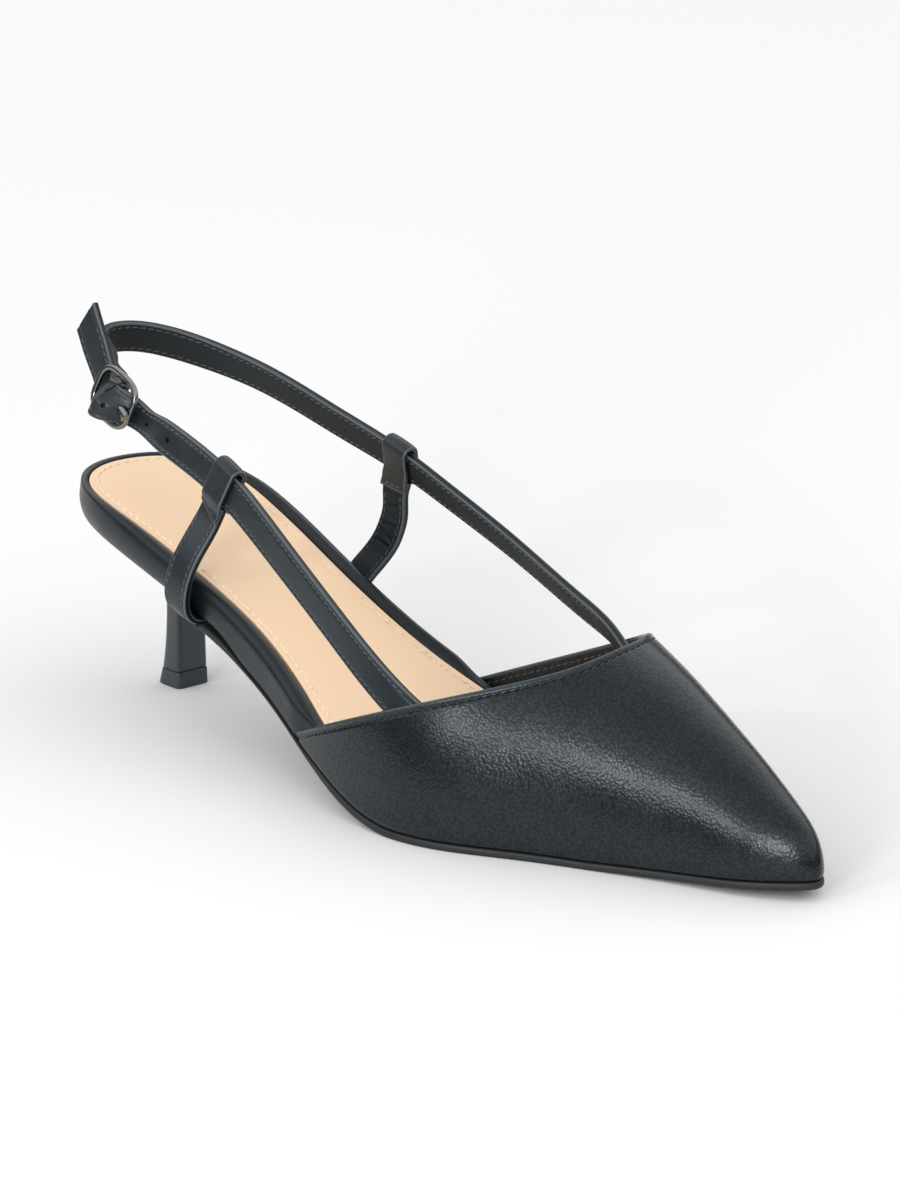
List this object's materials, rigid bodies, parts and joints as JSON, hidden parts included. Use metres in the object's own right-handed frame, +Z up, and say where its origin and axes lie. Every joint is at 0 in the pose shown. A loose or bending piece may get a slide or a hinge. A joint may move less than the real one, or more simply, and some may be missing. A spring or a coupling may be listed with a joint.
{
  "type": "kitten heel slingback shoe",
  "caption": "Pointed closed-toe slingback shoe with a slim kitten heel, looped side straps and a buckled ankle strap; right shoe, standing empty.",
  "frame": {"origin": "middle of the shoe's box in plan, on the floor it stands on", "axes": "+X from the heel to the toe, +Y from the outer side of the foot to the inner side, +Z up"},
  "size_m": [0.2628, 0.078, 0.0986],
  "materials": {
    "black_leather": "fine-grained semi-gloss black leather",
    "tan_sock": "smooth satin tan lining leather",
    "black_sole": "matt black moulded sole",
    "black_heel": "smooth black lacquered heel",
    "gunmetal": "polished dark plated metal"
  },
  "bodies": {
    "root": {"outsole": "black_sole", "heel": "black_heel", "heel_top_piece": "black_sole", "footbed": "black_leather", "insole": "tan_sock", "upper": "black_leather", "strap_lateral": "black_leather", "strap_back": "black_leather", "side_strap_lateral": "black_leather", "side_strap_medial": "black_leather", "loop_lateral": "black_leather", "loop_medial": "black_leather", "buckle_frame": "gunmetal", "buckle_prong": "gunmetal"}
  },
  "joints": []
}
